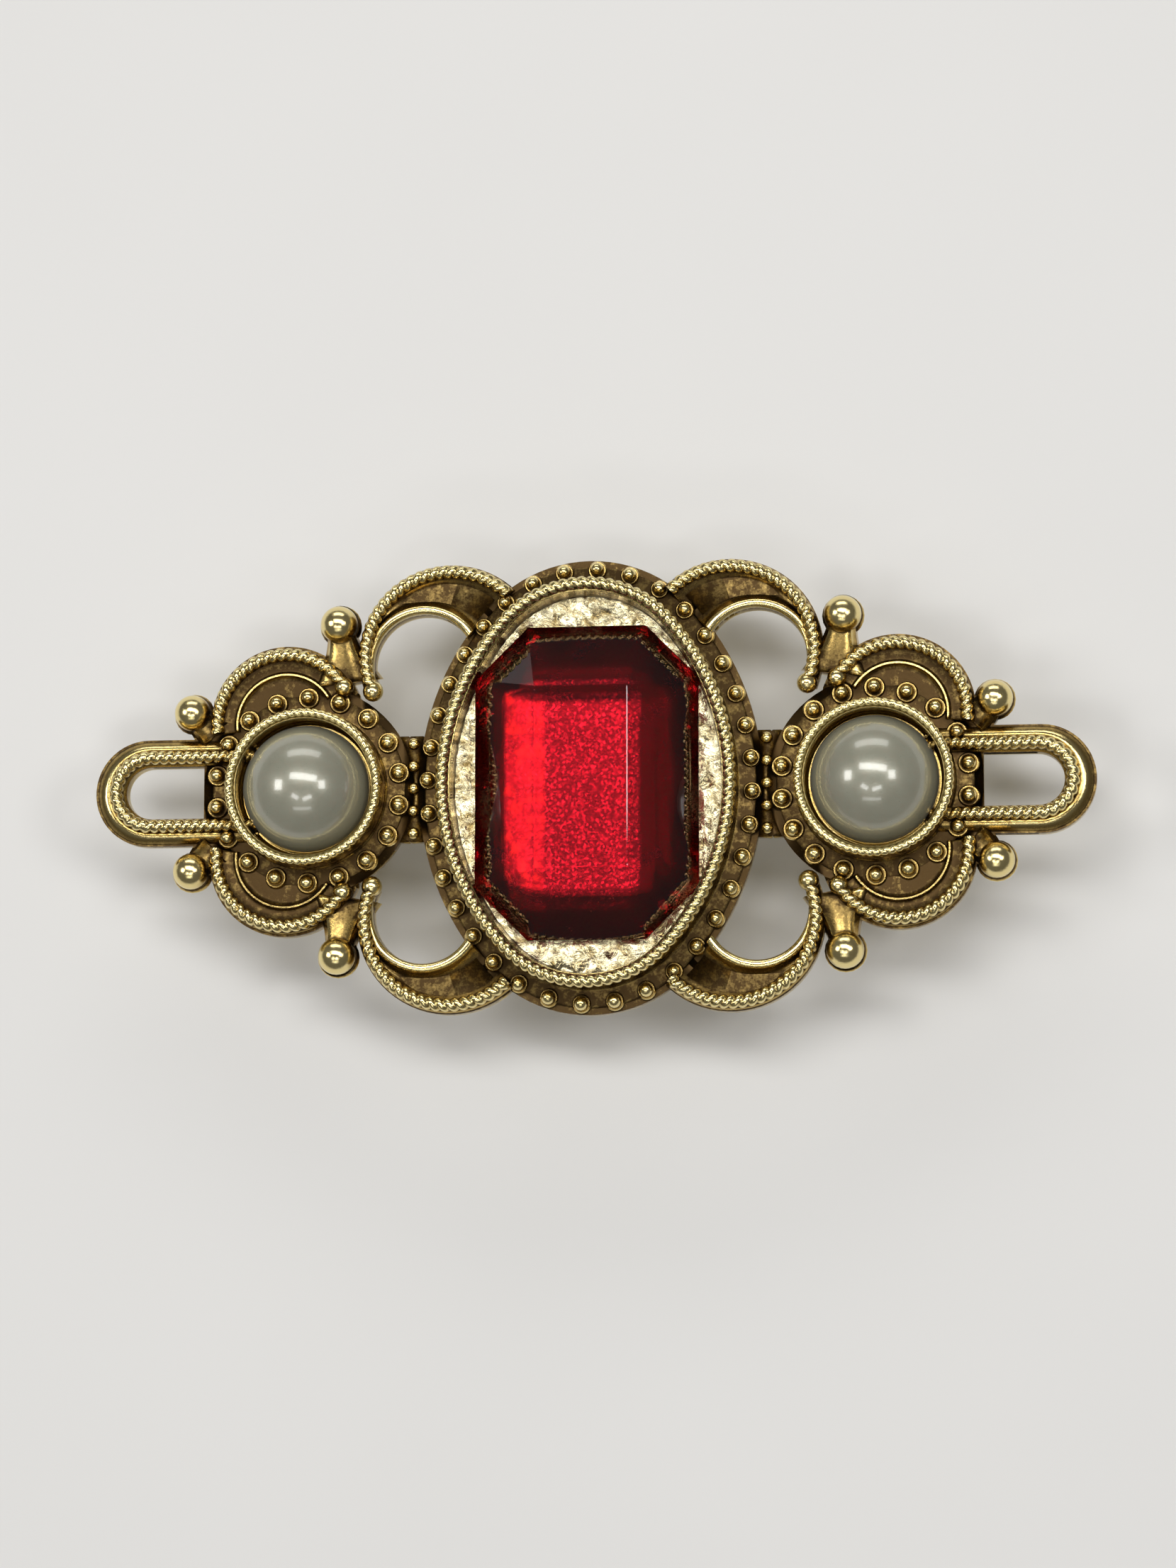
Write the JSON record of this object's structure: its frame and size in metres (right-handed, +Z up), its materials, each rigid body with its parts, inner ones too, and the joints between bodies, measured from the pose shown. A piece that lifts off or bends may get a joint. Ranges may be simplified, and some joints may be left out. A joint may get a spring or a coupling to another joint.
{
  "type": "hair barrette",
  "caption": "Hair barrette: openwork antique-gold ornament with a red octagon rhinestone and half pearls on a sprung swing-arm clasp.",
  "frame": {"origin": "under the middle of the ornament, on the surface that the closed clip lies on", "axes": "+X along the clip from the clasp's hinge to its latch, +Y across it, +Z up out of the ornament's face"},
  "size_m": [0.08, 0.0364, 0.0158],
  "materials": {
    "antique_gold": "gold-plated casting with brown antiquing in its recesses",
    "red_stone": "clear ruby red, faceted and polished",
    "mirror_foil": "vacuum-metallised",
    "clear_glue": "set clear glue",
    "pearl_coat": "pearl lacquer, soft lustre",
    "clasp_steel": "bright nickel-plated spring steel"
  },
  "bodies": {
    "clip_body": {"openwork_frame": "antique_gold", "oval_setting": "antique_gold", "pearl_setting_left": "antique_gold", "pearl_setting_right": "antique_gold", "rhinestone": "red_stone", "rhinestone_foil": "mirror_foil", "rhinestone_adhesive": "clear_glue", "pearl_left": "pearl_coat", "pearl_right": "pearl_coat", "pearl_adhesive_left": "clear_glue", "pearl_adhesive_right": "clear_glue", "base_plate": "clasp_steel", "mounting_rivets": "clasp_steel", "hinge_pin": "clasp_steel"},
    "arm": {"swing_arm": "clasp_steel"},
    "spring_bar": {"tension_bar": "clasp_steel"},
    "front_finger": {"latch_prong_front": "clasp_steel"},
    "back_finger": {"latch_prong_back": "clasp_steel"}
  },
  "joints": [
    {"name": "arm_hinge", "type": "hinge", "parent": "clip_body", "child": "arm", "pos_m": [-0.027, 0, 0.002], "axis": [0, 1, 0], "range_deg": [0, 85]},
    {"name": "tension_bar_press", "type": "slide", "parent": "clip_body", "child": "spring_bar", "axis": [0, 0, 1], "range_m": [0, 0.0008], "stiffness_N_per_m": 300},
    {"name": "front_finger_pinch", "type": "hinge", "parent": "clip_body", "child": "front_finger", "pos_m": [0.0259, -0.001, 0.0078], "axis": [1, 0, 0], "range_deg": [0, 4], "stiffness_Nm_per_rad": 0.05},
    {"name": "back_finger_pinch", "type": "hinge", "parent": "clip_body", "child": "back_finger", "pos_m": [0.0259, 0.001, 0.0078], "axis": [-1, 0, 0], "range_deg": [0, 4], "stiffness_Nm_per_rad": 0.05}
  ]
}
